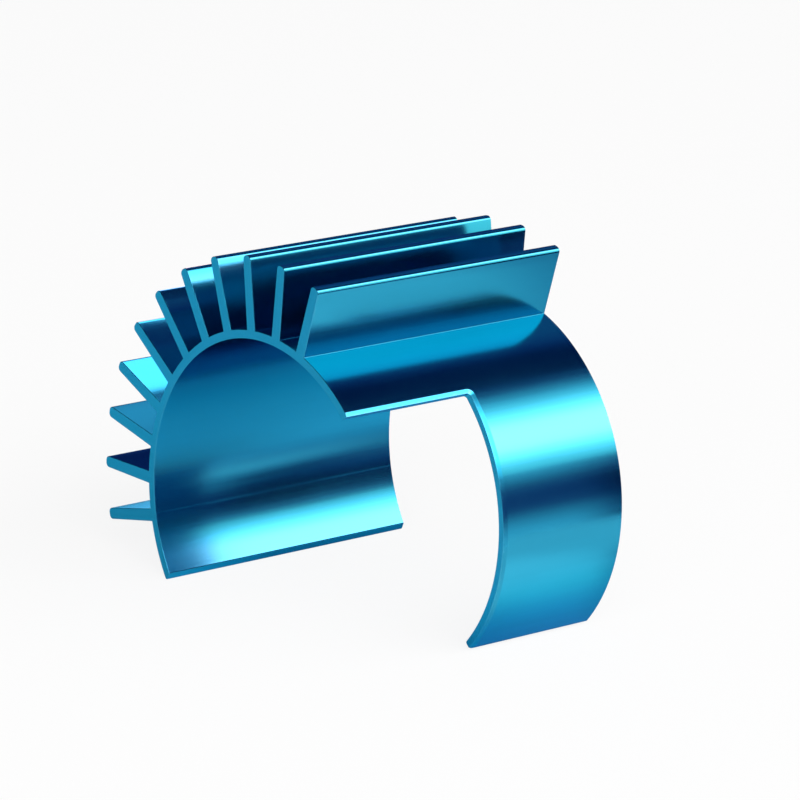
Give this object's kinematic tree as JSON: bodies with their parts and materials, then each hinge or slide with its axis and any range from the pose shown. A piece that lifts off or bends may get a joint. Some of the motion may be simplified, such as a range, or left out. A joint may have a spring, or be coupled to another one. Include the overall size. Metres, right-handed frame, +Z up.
{
  "type": "motor heat sink",
  "caption": "C-shaped clip-on heat sink for a small electric motor, with radial cooling fins on one side and a window milled out of the other.",
  "frame": {"origin": "on the axis of the bore that grips the motor, halfway along the length", "axes": "+Y along the motor's axis, from the windowed front end to the back end; +Z up, away from the clip's mouth; +X towards the clip's plain arm"},
  "size_m": [0.0451, 0.0306, 0.0379],
  "materials": {
    "anodised_aluminium": "satin blue anodising over fine extrusion lines"
  },
  "bodies": {
    "root": {"heat_sink": "anodised_aluminium"}
  },
  "joints": []
}
